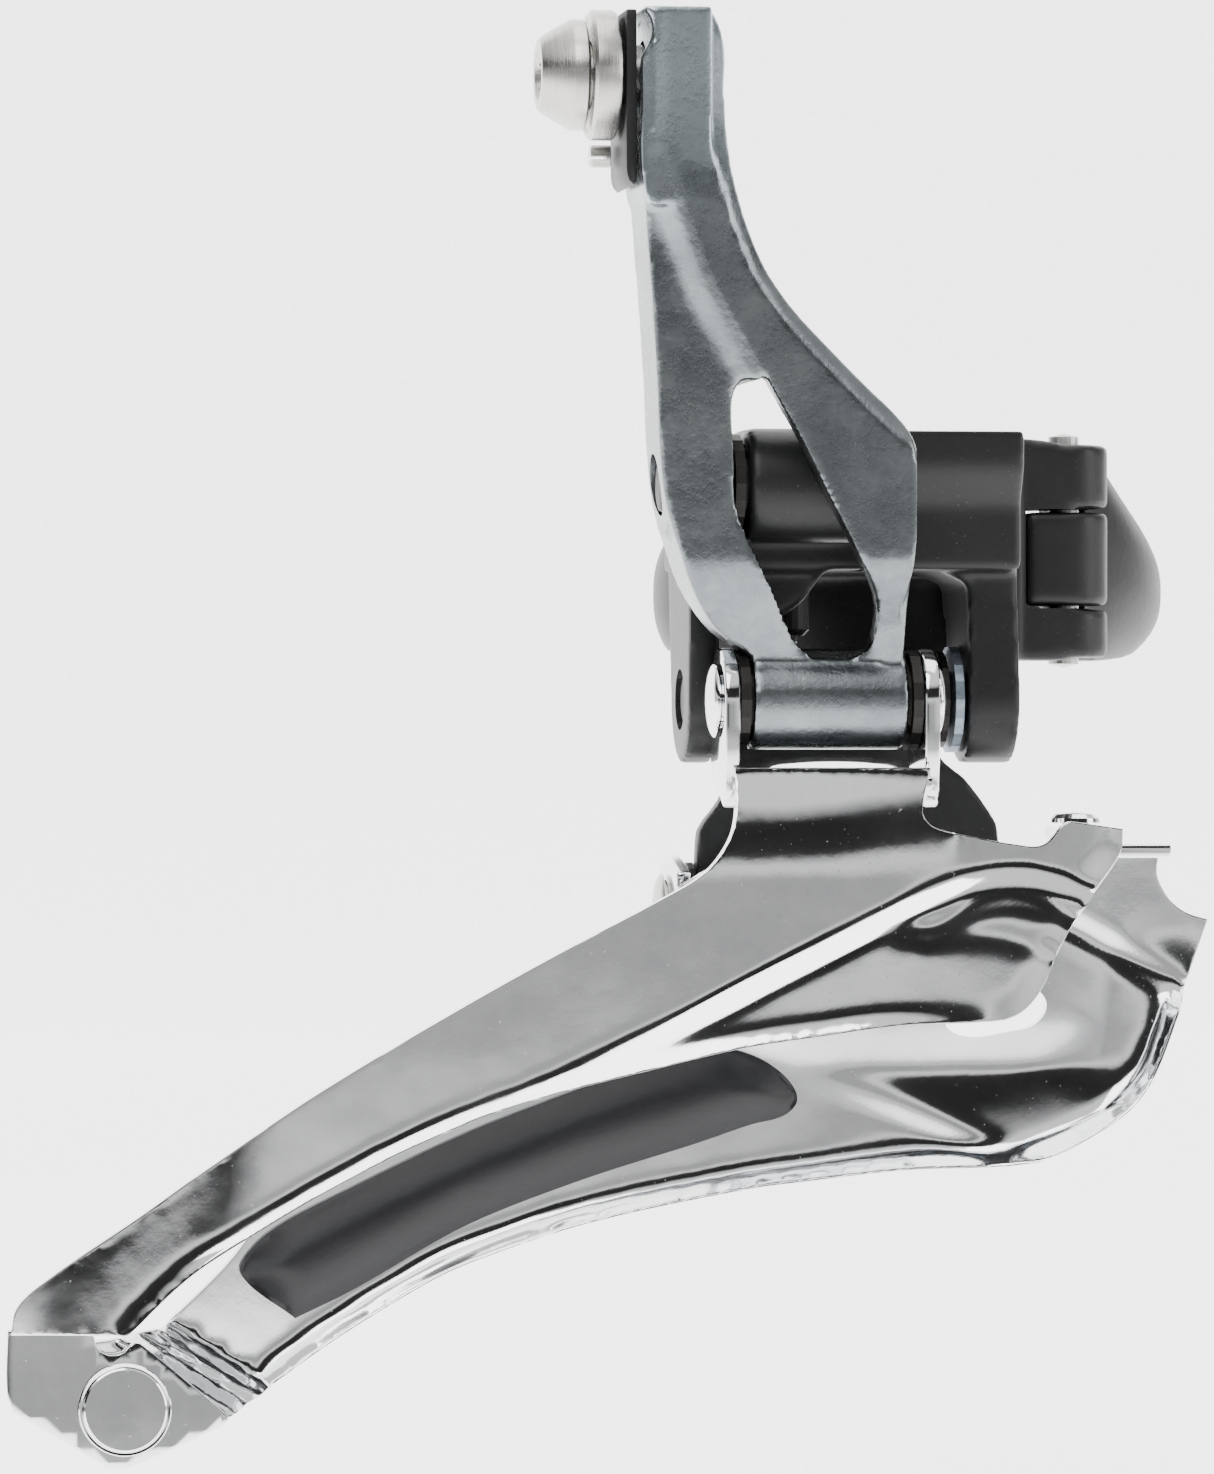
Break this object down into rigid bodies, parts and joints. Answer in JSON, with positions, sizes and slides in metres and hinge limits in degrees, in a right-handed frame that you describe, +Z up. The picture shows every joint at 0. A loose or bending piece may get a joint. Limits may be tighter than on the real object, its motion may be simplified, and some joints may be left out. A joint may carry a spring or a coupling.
{
  "type": "front derailleur",
  "caption": "Band-clamp front derailleur with a long cable arm, a sprung four-pivot linkage and a two-plate chain cage with a resin guide.",
  "frame": {"origin": "centre of the seat-tube clamp bore, at half the clamp's height", "axes": "+Z up along the seat tube, +X forward along the bicycle, -Y outboard to the drive side"},
  "size_m": [0.1002, 0.0819, 0.1136],
  "materials": {
    "chrome": "bright plated sheet steel, polished",
    "gunmetal": "dark blue-grey anodised forging, satin",
    "black_paint": "satin black coat over aluminium or steel",
    "bare_steel": "turned stainless steel, satin",
    "zinc": "zinc plate, slightly blue",
    "resin": "black moulded resin, satin",
    "bronze": "plain bearing bronze"
  },
  "bodies": {
    "base": {"clamp_body": "black_paint", "hinge_pin": "bare_steel", "arm_pivot_pin": "bare_steel", "arm_bush_left": "bronze", "arm_bush_right": "bronze", "link_pivot_pin": "bare_steel", "link_washer": "zinc"},
    "clamp_band": {"clamp_band": "black_paint", "clamp_washer": "bare_steel"},
    "clamp_bolt": {"clamp_bolt": "bare_steel"},
    "high_limit_screw": {"high_limit_screw": "bare_steel"},
    "low_limit_screw": {"low_limit_screw": "bare_steel"},
    "arm": {"cable_arm": "gunmetal", "cable_washer": "bare_steel", "converter_plate": "bare_steel", "converter_pin": "bare_steel", "cage_bush_left": "bronze", "cage_bush_right": "bronze"},
    "cable_bolt": {"cable_fixing_bolt": "bare_steel"},
    "inner_link": {"inner_link": "black_paint", "link_bush_left": "bronze", "link_bush_right": "bronze", "lower_bush_left": "bronze", "lower_bush_right": "bronze", "return_spring": "zinc"},
    "cage": {"outer_plate": "chrome", "inner_plate": "chrome", "guide_insert": "resin", "cage_pivot_pin": "chrome", "lower_pivot_pin": "bare_steel", "tail_rivet": "chrome", "bridge_rivet": "chrome"}
  },
  "joints": [
    {"name": "arm_swing", "type": "hinge", "parent": "base", "child": "arm", "pos_m": [0, -0.042, 0.0045], "axis": [-1, 0, 0], "range_deg": [0, 30], "stiffness_Nm_per_rad": 0.6, "springref_deg": -34.38},
    {"name": "cage_pivot", "type": "hinge", "parent": "arm", "child": "cage", "pos_m": [0, -0.041, -0.0124], "axis": [-1, 0, 0], "range_deg": [-30, 0]},
    {"name": "link_swing", "type": "hinge", "parent": "base", "child": "inner_link", "pos_m": [0, -0.0315, -0.0123], "axis": [-1, 0, 0], "range_deg": [0, 30]},
    {"name": "clamp_opening", "type": "hinge", "parent": "base", "child": "clamp_band", "pos_m": [0.0092, -0.0212, 0], "axis": [0, 0, -1], "range_deg": [0, 100]},
    {"name": "clamp_bolt_turn", "type": "hinge", "parent": "clamp_band", "child": "clamp_bolt", "pos_m": [0.00158, 0.0279, -0.0034], "axis": [0.9848, 0.1736, 0], "continuous": true},
    {"name": "high_screw_turn", "type": "hinge", "parent": "base", "child": "high_limit_screw", "pos_m": [-0.0152, -0.0322, 0], "axis": [0, 0, 1], "continuous": true},
    {"name": "low_screw_turn", "type": "hinge", "parent": "base", "child": "low_limit_screw", "pos_m": [-0.0152, -0.0265, 0], "axis": [0, 0, 1], "continuous": true},
    {"name": "cable_bolt_turn", "type": "hinge", "parent": "arm", "child": "cable_bolt", "pos_m": [-0.0311, -0.0433, 0.0365], "axis": [-1, 0, 0], "continuous": true}
  ],
  "couplings": [
    {"joint": "cage_pivot", "follows": "arm_swing", "ratio": -1},
    {"joint": "link_swing", "follows": "arm_swing", "ratio": 1}
  ]
}
